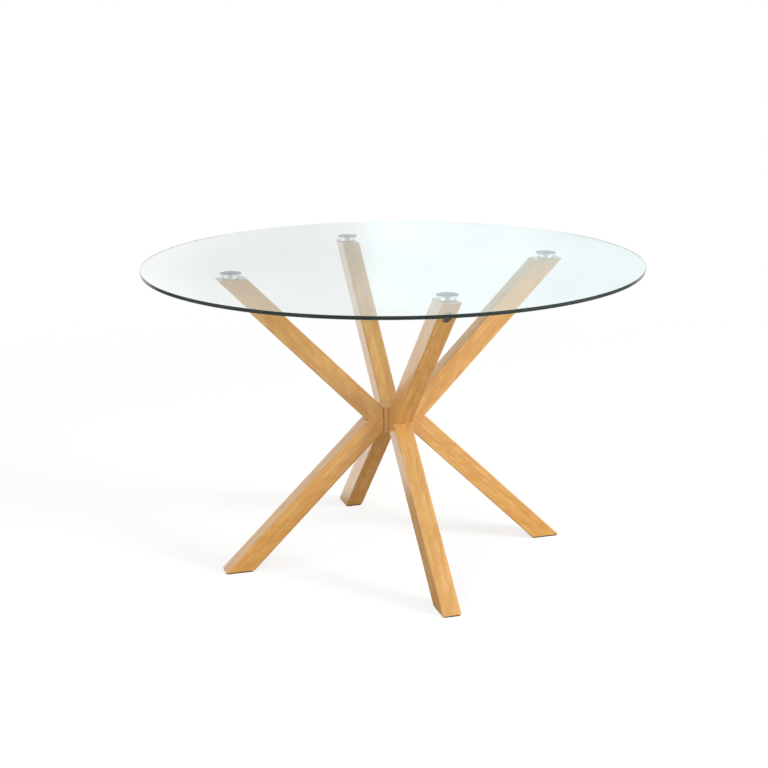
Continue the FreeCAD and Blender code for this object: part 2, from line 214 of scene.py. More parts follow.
level = add(tree, "ShaderNodeMix", {}, {0: ray["Is Glossy Ray"], 2: sky.outputs[0], 3: mirrored.outputs[0]},
            data_type="FLOAT")
through = add(tree, "ShaderNodeMath", {}, {0: ray["Is Camera Ray"], 1: ray["Is Transmission Ray"]},
              operation="MAXIMUM")
level = add(tree, "ShaderNodeMix", {3: BACKGROUND_LEVEL}, {0: through.outputs[0], 2: level.outputs[0]},
            data_type="FLOAT")
hue = add(tree, "ShaderNodeMix", {}, {0: rise.outputs[0], 6: bands["Y"], 7: bands["X"]}, data_type="RGBA")
hue = add(tree, "ShaderNodeMix", {6: WHITE}, {0: ray["Is Glossy Ray"], 7: hue.outputs[2]}, data_type="RGBA")
air = add(tree, "ShaderNodeBackground", {}, {"Color": hue.outputs[2], "Strength": level.outputs[0]})
add(tree, "ShaderNodeOutputWorld", {}, {"Surface": air.outputs[0]})
print(world.name, "has", len(tree.nodes), "nodes")

# %% [markdown]
# Three softboxes shape the bars. The key stands far to the right of the camera and a weaker, wider fill
# to the left, both at about the camera's height, so that the faces that look forward are bright and the
# undersides still get some light. The third hangs over the left of the table. Sun lamps would be simpler
# but would draw hard shadows. Mirror rays don't see the lamps, because flat glass would show each as a
# hard white square.

# %% Softboxes
HUB = Vector((0, 0, sum(corner.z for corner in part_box("hub_core")) / 2))
# Name, place, width in metres and power in watts.
SOFTBOXES = (
    ("key_softbox", (2.9, -2.65, 1.45), 1.3, 99),
    ("fill_softbox", (-2.2, -3.3, 1.5), 2.0, 27),
    ("top_softbox", (-1.8, -0.8, 3.2), 2.0, 16),
)

for name, place, width, watts in SOFTBOXES:
    lamp = bpy.data.objects.new(name, bpy.data.lights.new(name, "AREA"))
    scene.collection.objects.link(lamp)
    lamp.data.size = width
    lamp.data.energy = watts
    lamp.location = place
    lamp.rotation_euler = (HUB - lamp.location).to_track_quat("-Z", "Y").to_euler()
    lamp.visible_glossy = False
    lamp.visible_transmission = False
    print(name, "at", place, watts, "W")

# %% [markdown]
# The floor is a sheet of paper, a hair below the glides so that the two never fight over the same place.
# A square plane would do, but a round sheet can fade out evenly on all sides.

# %% Floor sheet
MM = 0.001
FLOOR_RADIUS = 3.0
FLOOR_DROP = 0.2 * MM
FLOOR_SEGMENTS = 96

floor_mesh = bpy.data.meshes.new("floor")
sheet = bmesh.new()
bmesh.ops.create_circle(sheet, cap_ends=True, segments=FLOOR_SEGMENTS, radius=FLOOR_RADIUS)
bmesh.ops.translate(sheet, verts=sheet.verts, vec=(0, 0, -FLOOR_DROP))
sheet.to_mesh(floor_mesh)
sheet.free()
floor = bpy.data.objects.new("floor", floor_mesh)
scene.collection.objects.link(floor)
print("floor radius", FLOOR_RADIUS)

# %% [markdown]
# Matt white paper is a felt of fine fibres. For the camera it is drawn as a grey that the next cell lifts
# to white, because that leaves a weak shadow at the feet without more light on the table. What it throws
# back on the undersides of the bars is plain white paper in lamp light, and what the lacquer mirrors is
# darker.

# %% Floor paper
# To the eye: an even white without shine. Real fibres are too fine to show, so they are drawn this coarse.
PAPER_FIBRE = 2 * MM
PAPER_DETAIL = 3.0
PAPER_TONES = ("989897", "a0a0a0")
BOUNCE_TONE = "faf3e6"
MIRROR_TONE = "8c8780"


def new_material(name):
    """A new material and its empty node tree."""
    material = bpy.data.materials.new(name)
    material.use_nodes = True
    material.node_tree.nodes.clear()
    return material, material.node_tree


paper, tree = new_material("matt_white_paper")
spot = add(tree, "ShaderNodeTexCoord").outputs["Object"]
fibre = add(tree, "ShaderNodeTexNoise", {"Scale": 1 / PAPER_FIBRE, "Detail": PAPER_DETAIL},
            {"Vector": spot})
tone = add(tree, "ShaderNodeMix", {6: linear(PAPER_TONES[0]), 7: linear(PAPER_TONES[1])},
           {0: fibre.outputs["Fac"]}, data_type="RGBA")
ray = add(tree, "ShaderNodeLightPath").outputs
tone = add(tree, "ShaderNodeMix", {7: linear(BOUNCE_TONE)}, {0: ray["Is Diffuse Ray"], 6: tone.outputs[2]},
           data_type="RGBA")
tone = add(tree, "ShaderNodeMix", {7: linear(MIRROR_TONE)}, {0: ray["Is Glossy Ray"], 6: tone.outputs[2]},
           data_type="RGBA")
matt = add(tree, "ShaderNodeBsdfDiffuse", {"Roughness": 1.0}, {"Color": tone.outputs[2]})
floor_mesh.materials.append(paper)
print(paper.name, "in tones", PAPER_TONES)

# %% [markdown]
# The lift is a little light of the paper's own. The camera, and what the glass lets through, see it all
# over. Mirror rays see it only outside the table's shade, so the lacquer stays dark towards the floor
# under the table. For them alone there is also a white card, behind the table on the left, that brightens
# the lacquer on that side. A lamp there would do the same, but it would light the bars as well.

# %% Floor lift
FLOOR_LIFT = 0.71
MIRROR_LIFT = 0.75
MIRROR_BAND = (0.3, 0.9)
CARD_LIFT = 0.85
CARD_SIDE_BAND = (-0.09, -0.2)
CARD_BACK_BAND = (0.25, 0.5)

reach = add(tree, "ShaderNodeVectorMath", {}, {0: spot}, operation="LENGTH").outputs["Value"]
seen = add(tree, "ShaderNodeMath", {}, {0: ray["Is Camera Ray"], 1: ray["Is Transmission Ray"]},
           operation="MAXIMUM")
outer = add(tree, "ShaderNodeMapRange",
            {"From Min": MIRROR_BAND[0], "From Max": MIRROR_BAND[1], "To Max": MIRROR_LIFT},
            {"Value": reach}, interpolation_type="SMOOTHSTEP")
squared = add(tree, "ShaderNodeMapping", {"Rotation": (0, 0, STUDIO_TURN)}, {"Vector": spot})
across_back = add(tree, "ShaderNodeSeparateXYZ", {}, {0: squared.outputs[0]}).outputs
card_side = add(tree, "ShaderNodeMapRange", {"From Min": CARD_SIDE_BAND[0], "From Max": CARD_SIDE_BAND[1]},
                {"Value": across_back["X"]}, interpolation_type="SMOOTHSTEP")
card_back = add(tree, "ShaderNodeMapRange",
                {"From Min": CARD_BACK_BAND[0], "From Max": CARD_BACK_BAND[1], "To Max": CARD_LIFT},
                {"Value": across_back["Y"]}, interpolation_type="SMOOTHSTEP")
card = add(tree, "ShaderNodeMath", {}, {0: card_side.outputs[0], 1: card_back.outputs[0]},
           operation="MULTIPLY")
brighter = add(tree, "ShaderNodeMath", {}, {0: outer.outputs[0], 1: card.outputs[0]}, operation="MAXIMUM")
mirrored = add(tree, "ShaderNodeMath", {}, {0: ray["Is Glossy Ray"], 1: brighter.outputs[0]},
               operation="MULTIPLY")
lift = add(tree, "ShaderNodeMix", {3: FLOOR_LIFT}, {0: seen.outputs[0], 2: mirrored.outputs[0]},
           data_type="FLOAT")
glow = add(tree, "ShaderNodeEmission", {"Color": WHITE}, {"Strength": lift.outputs[0]})
lifted = add(tree, "ShaderNodeAddShader", {}, {0: matt.outputs[0], 1: glow.outputs[0]})
print("floor lift", FLOOR_LIFT, "card lift", CARD_LIFT)

# %% [markdown]
# Further out the sheet fades into the white room, so that no edge of it shows. A larger sheet would only
# push its edge further away. From below it is clear, so that the table can be looked at from there as
# well.

# %% Floor fade
FADE_START = 1.2

fade = add(tree, "ShaderNodeMapRange", {"From Min": FADE_START, "From Max": FLOOR_RADIUS}, {"Value": reach},
           interpolation_type="SMOOTHSTEP")
from_below = add(tree, "ShaderNodeNewGeometry").outputs["Backfacing"]
gone = add(tree, "ShaderNodeMath", {}, {0: fade.outputs[0], 1: from_below}, operation="MAXIMUM")
clear = add(tree, "ShaderNodeBsdfTransparent")
faded = add(tree, "ShaderNodeMixShader", {},
            {0: gone.outputs[0], 1: lifted.outputs[0], 2: clear.outputs[0]})
add(tree, "ShaderNodeOutputMaterial", {}, {"Surface": faded.outputs[0]})
print("floor fades from", FADE_START, "to", FLOOR_RADIUS)

# %% [markdown]
# The legs are solid oak. Oak grows in rings, and a sawn bar cuts them slantwise, which draws long
# straight lines on some faces and arches on others. A picture could be wrapped round each bar, but it
# would not run on round the corners. Here the rings are a solid pattern, a log that is squeezed along its
# length and tilted, and each bar is cut from it.

# %% Oak rings
# Real rings are about 3 mm wide, too fine to show from here, so they are drawn as coarse as this.
RING_WIDTH = 10 * MM
RING_STRETCH = 0.05
RING_WOBBLE = 5.0
RING_WOBBLE_DETAIL = 2.0
RING_WOBBLE_SCALE = 0.3
ARCH_TURN = math.radians(24)
PITH_DEPTH = 80 * MM
# At scale 1, a wave texture runs through this many radians in a metre.
WAVE_RADIANS = 20


def oak_rings(tree, bar):
    """Year rings, cut at a slant."""
    log = add(tree, "ShaderNodeMapping",
              {"Scale": (RING_STRETCH, 1, 1), "Rotation": (0, ARCH_TURN / 2, ARCH_TURN),
               "Location": (0, PITH_DEPTH / 3, PITH_DEPTH)}, {"Vector": bar})
    rings = add(tree, "ShaderNodeTexWave",
                {"Scale": 2 * math.pi / (WAVE_RADIANS * RING_WIDTH), "Distortion": RING_WOBBLE,
                 "Detail": RING_WOBBLE_DETAIL, "Detail Scale": RING_WOBBLE_SCALE},
                {"Vector": log.outputs[0]}, wave_type="RINGS", rings_direction="X", wave_profile="SAW")
    return rings.outputs["Fac"]


print("rings every", RING_WIDTH / MM, "mm")

# %% [markdown]
# Over the rings lie long soft streaks, slanting patches of mottle, fine fibres and the short dark pores
# that oak is known by. All four are noise that is drawn out along the grain, so one loop over their sizes
# makes them. Wave textures would give lines too, but too regular ones.

# %% Oak grain
# Width across the grain, length along it, and detail. Real fibres and pores are about 0.3 mm wide, too
# fine to show, so they are drawn as coarse as this.
GRAIN = {
    "streak": (9 * MM, 150 * MM, 2.0),
    "patch": (16 * MM, 70 * MM, 2.0),
    "fibre": (2.4 * MM, 80 * MM, 1.0),
    "pore": (1.1 * MM, 18 * MM, 1.0),
}
GRAIN_WANDER = 0.3
PATCH_TILT = math.radians(13)


def oak_grain(tree, bar):
    """The patterns along the grain, by name."""
    slanted = add(tree, "ShaderNodeMapping", {"Rotation": (0, PATCH_TILT, PATCH_TILT)}, {"Vector": bar})
    grain = {}
    for pattern, (width, length, detail) in GRAIN.items():
        source = slanted.outputs[0] if pattern == "patch" else bar
        place = add(tree, "ShaderNodeMapping", {"Scale": (1 / length, 1 / width, 1 / width)},
                    {"Vector": source})
        noise = add(tree, "ShaderNodeTexNoise",
                    {"Scale": 1.0, "Detail": detail, "Distortion": GRAIN_WANDER},
                    {"Vector": place.outputs[0]})
        grain[pattern] = noise.outputs["Fac"]
    return grain


print("grain:", ", ".join(GRAIN))

# %% [markdown]
# Each pattern then tints the wood towards a tone of its own, from where it begins to where it is full. A
# single colour ramp could mix them, but layers can be tuned one at a time, as a stain is built up on real
# wood.

# %% Oak colour
OAK_BASE = "e8b56c"
PORE_BAND = (0.62, 0.76)
# Pattern, tone, where the tint begins and where it is full, and its strength.
OAK_LAYERS = (
    ("streak", "d99f50", 0.35, 0.65, 0.8),
    ("patch", "cf9245", 0.42, 0.62, 0.6),
    ("rings", "c58a44", 0.3, 1.0, 0.34),
    ("fibre", "c98f4c", 0.48, 0.68, 0.3),
    ("pore", "94632f", *PORE_BAND, 0.28),
)


def oak_colour(tree, grain):
    """The wood's colour, layer over layer."""
    under = {}
    for pattern, tone, start, full, strength in OAK_LAYERS:
        share = add(tree, "ShaderNodeMapRange", {"From Min": start, "From Max": full, "To Max": strength},
                    {"Value": grain[pattern]})
        layer = add(tree, "ShaderNodeMix", {6: linear(OAK_BASE), 7: linear(tone)},
                    {0: share.outputs[0], **under}, data_type="RGBA")
        under = {6: layer.outputs[2]}
    return layer.outputs[2]


print("oak layers:", len(OAK_LAYERS))

# %% [markdown]
# Two places on a bar get painted light and shade. Inside the counterbore for the bolt, whose wood is
# bare, a dark tone is painted shade. Along the eased groove of the mitre, a dark line on the upper bar is
# painted shade and a pale line on the lower bar is a painted highlight. Each could be a face with another
# material, but the CAD mesh stays as it is. A mark colours everything within a radius of a line instead,
# which follows the cut exactly.

# %% Marks on the oak
MARK_BLUR = 0.6 * MM


def marked(tree, table, colour, tone, axis, place, radius):
    """The colour with a mark round a line that runs along an axis through a place."""
    flat = Vector((1, 1, 1)) - Vector([abs(part) for part in axis])
    section = add(tree, "ShaderNodeMapping", {"Location": -place * flat, "Scale": flat}, {"Vector": table})
    inside = add(tree, "ShaderNodeVectorMath", {}, {0: section.outputs[0]}, operation="LENGTH")
    share = add(tree, "ShaderNodeMapRange", {"From Min": radius + MARK_BLUR, "From Max": radius},
                {"Value": inside.outputs["Value"]})
    return add(tree, "ShaderNodeMix", {7: linear(tone)}, {0: share.outputs[0], 6: colour},
               data_type="RGBA").outputs[2]


print("marks blur over", MARK_BLUR / MM, "mm")

# %% [markdown]
# A sprayed satin lacquer closes the wood. It could be left to the roughness alone, but a coat over the
# wood gives the soft shine of the lacquer and the broken one of the fibres beneath it. Every bar turns
# the table's coordinates into its own, along, across and through the wood, and takes its own place in the
# log.

# %% Lacquered oak
# To the eye: warm straw with honey streaks and patches, fine dark pores, and a soft sheen on the lit faces.
OAK_ROUGHNESS = (0.34, 0.48)
OAK_IOR = 1.5
LACQUER_ROUGHNESS = 0.14
LACQUER_IOR = 1.5
PORE_DEPTH = 0.12 * MM
PORE_RELIEF = 0.5


def oak(name, along, across, log_place, marks=()):
    """Lacquered oak whose grain runs along a direction, cut from its own place in the log."""
    material, tree = new_material(name)
    turn = Matrix((along, across, along.cross(across))).to_euler()
    table = add(tree, "ShaderNodeTexCoord").outputs["Object"]
    bar = add(tree, "ShaderNodeMapping", {"Rotation": turn, "Location": log_place},
              {"Vector": table}).outputs[0]
    grain = {"rings": oak_rings(tree, bar), **oak_grain(tree, bar)}
    colour = oak_colour(tree, grain)
    for tone, axis, place, radius in marks:
        colour = marked(tree, table, colour, tone, axis, place, radius)
    gloss = add(tree, "ShaderNodeMapRange", {"To Min": OAK_ROUGHNESS[0], "To Max": OAK_ROUGHNESS[1]},
                {"Value": grain["streak"]})
    height = add(tree, "ShaderNodeMapRange",
                 {"From Min": PORE_BAND[0], "From Max": PORE_BAND[1], "To Min": 1.0, "To Max": 0.0},
                 {"Value": grain["pore"]})
    relief = add(tree, "ShaderNodeBump", {"Strength": PORE_RELIEF, "Distance": PORE_DEPTH},
                 {"Height": height.outputs[0]})
    shader = add(tree, "ShaderNodeBsdfPrincipled",
                 {"IOR": OAK_IOR, "Coat Weight": 1.0, "Coat Roughness": LACQUER_ROUGHNESS,
                  "Coat IOR": LACQUER_IOR},
                 {"Base Color": colour, "Roughness": gloss.outputs[0], "Normal": relief.outputs[0]})
    add(tree, "ShaderNodeOutputMaterial", {}, {"Surface": shader.outputs[0]})
    return material


print("pores", PORE_DEPTH / MM, "mm deep")

# %% [markdown]
# Each bar's slope follows from its box: it rises or falls from the inside corner of the V to the tip of
# the level cut. With that slope, every bar gets an oak of its own, and the caps of the hub get one whose
# grain lies flat. One oak for all would be less work, but then all bars would show the same figure.

# %% Oak on the bars and caps
STATIONS = {"right": 0, "back": 90, "left": 180, "front": 270}
CROTCH_REACH = 74 * MM
FIXING_RADIUS = sum(corner.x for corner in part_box("collar_right")) / 2
BORE_RADIUS = 10.2 * MM
# Painted shade: a dark tone inside the counterbore.
BORE_PAINTED_SHADE = "4a2f18"
# Along the mitre: painted shade on the upper bar and a painted highlight on the lower bar.
MITRE_PAINTED_LIGHT_RADIUS = 2.6 * MM
MITRE_PAINTED_SHADE_AND_HIGHLIGHT = {"upper": "a06a34", "lower": "f8c886"}
LOG_STEP = Vector((0.83, 0.031, 0.047))
ALONG_X = Vector((1, 0, 0))
ALONG_Y = Vector((0, 1, 0))
UP = Vector((0, 0, 1))


def bar_direction(name, outward):
    """The way a bar runs, from the hub to its cut end."""
    low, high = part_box(name)
    tip = max(corner.dot(outward) for corner in (low, high))
    rise = (high.z - low.z) if "upper" in name else (low.z - high.z)
    return (outward * (tip - CROTCH_REACH) + UP * rise).normalized()


def dress(names, material):
    """Puts a material on CAD nodes."""
    for name in names:
        for slot in nodes[name].material_slots:
            slot.material = material
    print(material.name, "on", ", ".join(names))


bars = [(level, station) for station in STATIONS for level in ("upper", "lower")]
for number, (level, station) in enumerate(bars):
    angle = math.radians(STATIONS[station])
    outward = Vector((math.cos(angle), math.sin(angle), 0))
    across = UP.cross(outward)
    crotch = outward * CROTCH_REACH + HUB
    # Painted light along the mitre: shade on the upper bar, a highlight on the lower bar.
    marks = [(MITRE_PAINTED_SHADE_AND_HIGHLIGHT[level], across, crotch, MITRE_PAINTED_LIGHT_RADIUS)]
    # The upper bar also gets painted shade inside its counterbore.
    if level == "upper":
        marks.insert(0, (BORE_PAINTED_SHADE, UP, outward * FIXING_RADIUS, BORE_RADIUS))
    name = f"leg_{level}_{station}"
    dress([name], oak(f"lacquered_oak_{level}_{station}", bar_direction(name, outward), across,
                      number * LOG_STEP, marks))
dress(["hub_cap_top", "hub_cap_bottom"], oak("lacquered_oak_caps", ALONG_X, ALONG_Y, len(bars) * LOG_STEP))

# %% [markdown]
# The glass fixings are stainless steel, turned on a lathe and polished. Polish leaves faint turned lines
# and a few smudges, which show as a slight change of gloss. An anisotropic shader could stretch the
# highlights, but on a polished rim the lines are too faint for that. The face that is bonded to the glass
# is left ground, a duller grey that shows through the top.

# %% Polished steel
# To the eye: a clean mirror of the room, with dark stripes between white panels.
# Real turned lines are about 0.1 mm apart, too fine to show, so they are drawn as coarse as this.
TURNED_LINE = 0.8 * MM
LINE_SQUEEZE = 0.02
LINE_DETAIL = 2.0
LINE_DEPTH = 0.02 * MM
LINE_RELIEF = 0.2
SMUDGE_SIZE = 9 * MM
SMUDGE_DETAIL = 3.0
SMUDGE_BAND = (0.4, 0.7)
STEEL_TONES = ("ecedef", "e0e2e4")
STEEL_ROUGHNESS = (0.07, 0.2)

polished_steel, tree = new_material("polished_stainless_steel")
table = add(tree, "ShaderNodeTexCoord").outputs["Object"]
turning = add(tree, "ShaderNodeMapping", {"Scale": (LINE_SQUEEZE, LINE_SQUEEZE, 1)}, {"Vector": table})
lines = add(tree, "ShaderNodeTexNoise", {"Scale": 1 / TURNED_LINE, "Detail": LINE_DETAIL},
            {"Vector": turning.outputs[0]})
smudges = add(tree, "ShaderNodeTexNoise", {"Scale": 1 / SMUDGE_SIZE, "Detail": SMUDGE_DETAIL},
              {"Vector": table})
gloss = add(tree, "ShaderNodeMapRange",
            {"From Min": SMUDGE_BAND[0], "From Max": SMUDGE_BAND[1],
             "To Min": STEEL_ROUGHNESS[0], "To Max": STEEL_ROUGHNESS[1]}, {"Value": smudges.outputs["Fac"]})
relief = add(tree, "ShaderNodeBump", {"Strength": LINE_RELIEF, "Distance": LINE_DEPTH},
             {"Height": lines.outputs["Fac"]})
tone = add(tree, "ShaderNodeMix", {6: linear(STEEL_TONES[0]), 7: linear(STEEL_TONES[1])},
           {0: lines.outputs["Fac"]}, data_type="RGBA")
print("steel roughness", STEEL_ROUGHNESS)

# %% [markdown]
# The bonded face lies at one height on every fixing. It could be a piece of its own, but the height alone
# says where the steel turns dull.

# %% Bonded face of the steel
BOND_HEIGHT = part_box("glass_disc_right")[1].z
BOND_BAND = (0.3 * MM, 0.1 * MM)
BOND_TONE = "909398"
BOND_ROUGHNESS = 0.45

height = add(tree, "ShaderNodeSeparateXYZ", {}, {0: table}).outputs["Z"]
bonded = add(tree, "ShaderNodeMapRange",
             {"From Min": BOND_HEIGHT - BOND_BAND[0], "From Max": BOND_HEIGHT - BOND_BAND[1]},
             {"Value": height})
tone = add(tree, "ShaderNodeMix", {7: linear(BOND_TONE)}, {0: bonded.outputs[0], 6: tone.outputs[2]},
           data_type="RGBA")
gloss = add(tree, "ShaderNodeMix", {3: BOND_ROUGHNESS}, {0: bonded.outputs[0], 2: gloss.outputs[0]},
            data_type="FLOAT")
shader = add(tree, "ShaderNodeBsdfPrincipled", {"Metallic": 1.0},
             {"Base Color": tone.outputs[2], "Roughness": gloss.outputs[0], "Normal": relief.outputs[0]})
add(tree, "ShaderNodeOutputMaterial", {}, {"Surface": shader.outputs[0]})
print(polished_steel.name, "bonded at", round(BOND_HEIGHT, 4))

# %% [markdown]
# The core tube, seen as a narrow seam between the noses, has a brown powder coat. Powder melts into a
# skin with a fine orange peel. A displaced mesh could show that, but at this size a bump is enough.

# %% Brown powder coat
# To the eye: an even tan with a dull, slightly pebbled shine.
PEEL_SIZE = 1.2 * MM
PEEL_DETAIL = 2.0
PEEL_DEPTH = 0.1 * MM
PEEL_RELIEF = 0.4
COAT_TONES = ("cc9b62", "d6a66d")
COAT_ROUGHNESS = (0.45, 0.65)
COAT_IOR = 1.5

brown_coat, tree = new_material("brown_powder_coat")
table = add(tree, "ShaderNodeTexCoord").outputs["Object"]
peel = add(tree, "ShaderNodeTexNoise", {"Scale": 1 / PEEL_SIZE, "Detail": PEEL_DETAIL}, {"Vector": table})
tone = add(tree, "ShaderNodeMix", {6: linear(COAT_TONES[0]), 7: linear(COAT_TONES[1])},
           {0: peel.outputs["Fac"]}, data_type="RGBA")
relief = add(tree, "ShaderNodeBump", {"Strength": PEEL_RELIEF, "Distance": PEEL_DEPTH},
             {"Height": peel.outputs["Fac"]})
gloss = add(tree, "ShaderNodeMapRange", {"To Min": COAT_ROUGHNESS[0], "To Max": COAT_ROUGHNESS[1]},
            {"Value": peel.outputs["Fac"]})
shader = add(tree, "ShaderNodeBsdfPrincipled", {"IOR": COAT_IOR},
             {"Base Color": tone.outputs[2], "Roughness": gloss.outputs[0], "Normal": relief.outputs[0]})
add(tree, "ShaderNodeOutputMaterial", {}, {"Surface": shader.outputs[0]})
dress(["hub_core"], brown_coat)

# %% [markdown]
# Bolts and inserts are zinc plated. The bath leaves small crystals that shine differently from each
# other, and cloudy patches. Cells of a Voronoi texture stand for the crystals, because noise alone has no
# edges.

# %% Zinc plate
# To the eye: a bright grey that is cool in places and warm in others, with a patchy dull shine.
SPANGLE_SIZE = 2.5 * MM
SPANGLE_REACH = 0.8
ZINC_DETAIL = 3.0
ZINC_TONES = ("b3b8be", "cdcfc9")
ZINC_ROUGHNESS = (0.25, 0.42)

zinc_plate, tree = new_material("zinc_plated_steel")
table = add(tree, "ShaderNodeTexCoord").outputs["Object"]
spangle = add(tree, "ShaderNodeTexVoronoi", {"Scale": 1 / SPANGLE_SIZE}, {"Vector": table})
bloom = add(tree, "ShaderNodeTexNoise", {"Scale": 1 / SPANGLE_SIZE, "Detail": ZINC_DETAIL},
            {"Vector": table})
tone = add(tree, "ShaderNodeMix", {6: linear(ZINC_TONES[0]), 7: linear(ZINC_TONES[1])},
           {0: bloom.outputs["Fac"]}, data_type="RGBA")
gloss = add(tree, "ShaderNodeMapRange",
            {"From Max": SPANGLE_REACH, "To Min": ZINC_ROUGHNESS[0], "To Max": ZINC_ROUGHNESS[1]},
            {"Value": spangle.outputs["Distance"]})
shader = add(tree, "ShaderNodeBsdfPrincipled", {"Metallic": 1.0},
             {"Base Color": tone.outputs[2], "Roughness": gloss.outputs[0]})
add(tree, "ShaderNodeOutputMaterial", {}, {"Surface": shader.outputs[0]})
dress([name for name in nodes if name.startswith(("fixing_bolts", "hub_bolts", "hub_inserts"))], zinc_plate)

# %% [markdown]
# The dowels in the mitres are raw beech, a pale wood with small dark flecks and no finish. The flecks
# could be scattered one by one, but noise that is cut off high leaves only its peaks, and those look the
# same.

# %% Raw beech
# To the eye: a dull pinkish straw with short brown dashes.
FLECK_WIDTH = 0.5 * MM
FLECK_LENGTH = 3 * MM
FLECK_DETAIL = 1.0
FLECK_BAND = (0.55, 0.7)
BEECH_TONES = ("d8b48a", "b0875c")
BEECH_ROUGHNESS = (0.6, 0.75)
BEECH_IOR = 1.5

raw_beech, tree = new_material("raw_beech")
table = add(tree, "ShaderNodeTexCoord").outputs["Object"]
fleck_place = add(tree, "ShaderNodeMapping",
                  {"Scale": (1 / FLECK_WIDTH, 1 / FLECK_WIDTH, 1 / FLECK_LENGTH)}, {"Vector": table})
flecks = add(tree, "ShaderNodeTexNoise", {"Scale": 1.0, "Detail": FLECK_DETAIL},
             {"Vector": fleck_place.outputs[0]})
fleck_share = add(tree, "ShaderNodeMapRange", {"From Min": FLECK_BAND[0], "From Max": FLECK_BAND[1]},
                  {"Value": flecks.outputs["Fac"]})
tone = add(tree, "ShaderNodeMix", {6: linear(BEECH_TONES[0]), 7: linear(BEECH_TONES[1])},
           {0: fleck_share.outputs[0]}, data_type="RGBA")
gloss = add(tree, "ShaderNodeMapRange", {"To Min": BEECH_ROUGHNESS[0], "To Max": BEECH_ROUGHNESS[1]},
            {"Value": flecks.outputs["Fac"]})
shader = add(tree, "ShaderNodeBsdfPrincipled", {"IOR": BEECH_IOR},
             {"Base Color": tone.outputs[2], "Roughness": gloss.outputs[0]})
add(tree, "ShaderNodeOutputMaterial", {}, {"Surface": shader.outputs[0]})
dress(["mitre_dowels"], raw_beech)

# %% [markdown]
# The glides under the feet are moulded brown nylon. The mould was spark eroded, which leaves a fine even
# grain on the plastic. It could be cut into the mesh, but it is so shallow that noise will do, as a bump
# and as a change of gloss.

# %% Brown nylon
# To the eye: a dark, dull brown line under each foot. The real grain is too fine to show, so it is drawn
# as coarse as this.
MOULD_GRAIN = 0.6 * MM
MOULD_DETAIL = 2.0
MOULD_DEPTH = 0.05 * MM
MOULD_RELIEF = 0.4
NYLON_TONES = ("4a3626", "5c4633")
NYLON_ROUGHNESS = (0.45, 0.6)
NYLON_IOR = 1.53

brown_nylon, tree = new_material("brown_nylon")
table = add(tree, "ShaderNodeTexCoord").outputs["Object"]
grain = add(tree, "ShaderNodeTexNoise", {"Scale": 1 / MOULD_GRAIN, "Detail": MOULD_DETAIL},
            {"Vector": table})
tone = add(tree, "ShaderNodeMix", {6: linear(NYLON_TONES[0]), 7: linear(NYLON_TONES[1])},
           {0: grain.outputs["Fac"]}, data_type="RGBA")
relief = add(tree, "ShaderNodeBump", {"Strength": MOULD_RELIEF, "Distance": MOULD_DEPTH},
             {"Height": grain.outputs["Fac"]})
gloss = add(tree, "ShaderNodeMapRange", {"To Min": NYLON_ROUGHNESS[0], "To Max": NYLON_ROUGHNESS[1]},
            {"Value": grain.outputs["Fac"]})
shader = add(tree, "ShaderNodeBsdfPrincipled", {"IOR": NYLON_IOR},
             {"Base Color": tone.outputs[2], "Roughness": gloss.outputs[0], "Normal": relief.outputs[0]})
add(tree, "ShaderNodeOutputMaterial", {}, {"Surface": shader.outputs[0]})
dress([f"foot_pad_{station}" for station in STATIONS], brown_nylon)

# %% [markdown]
# The top is clear float glass with a polished edge. A thin sheet with a tint would be simpler, but a
# solid body bends the legs seen through it, as the real one does. Its index is lower than that of real
# glass, about 1.52, because the photograph's reflections are weaker, as through a polarising filter.
# Light goes a long way through the rim and ends before it comes out again, so the rim gets a faint haze
# of its own.

# %% Float glass
# To the eye: almost nothing face on, pale bands of the mirrored wall, and a dark green-grey rim.
GLASS_INDEX = 1.25
WIPE_SIZE = 60 * MM
WIPE_DETAIL = 2.0
WIPE_BAND = (0.4, 0.8)
WIPE_ROUGHNESS = 0.02
GLASS_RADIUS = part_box("glass_top")[1].x
EDGE_BAND = (1.2 * MM, 0.6 * MM)
EDGE_TONE = "323a38"

float_glass, tree = new_material("clear_float_glass")
table = add(tree, "ShaderNodeTexCoord").outputs["Object"]
wiped = add(tree, "ShaderNodeTexNoise", {"Scale": 1 / WIPE_SIZE, "Detail": WIPE_DETAIL}, {"Vector": table})
gloss = add(tree, "ShaderNodeMapRange",
            {"From Min": WIPE_BAND[0], "From Max": WIPE_BAND[1], "To Max": WIPE_ROUGHNESS},
            {"Value": wiped.outputs["Fac"]})
pane = add(tree, "ShaderNodeBsdfPrincipled",
           {"Base Color": WHITE, "IOR": GLASS_INDEX, "Transmission Weight": 1.0},
           {"Roughness": gloss.outputs[0]})
flat = add(tree, "ShaderNodeMapping", {"Scale": (1, 1, 0)}, {"Vector": table})
reach = add(tree, "ShaderNodeVectorMath", {}, {0: flat.outputs[0]}, operation="LENGTH").outputs["Value"]
edge = add(tree, "ShaderNodeMapRange",
           {"From Min": GLASS_RADIUS - EDGE_BAND[0], "From Max": GLASS_RADIUS - EDGE_BAND[1]},
           {"Value": reach})
haze = add(tree, "ShaderNodeBsdfDiffuse", {"Color": linear(EDGE_TONE)})
hazed = add(tree, "ShaderNodeAddShader", {}, {0: pane.outputs[0], 1: haze.outputs[0]})
rimmed = add(tree, "ShaderNodeMixShader", {}, {0: edge.outputs[0], 1: pane.outputs[0], 2: hazed.outputs[0]})
print("glass index", GLASS_INDEX, "radius", round(GLASS_RADIUS, 4))

# %% [markdown]
# Lamps and the soft light of the room go straight through the glass, because bent light would need far
# more samples to settle. Light that comes in at a low slant is turned back, as by a real pane. Inside,
# the glass takes more red than green and blue: it is almost colourless face on and green along the rim. A
# tinted surface would be equally green everywhere, so the tint is an absorption in the volume.

# %% Light through the glass
SLANT_BLEND = 0.5
SLANT_POWER = 5
LET_IN_TONE = "f6fbf8"
TURNED_BACK_TONE = "000000"
BODY_TONE = "7ae2da"
BODY_DENSITY = 4.0

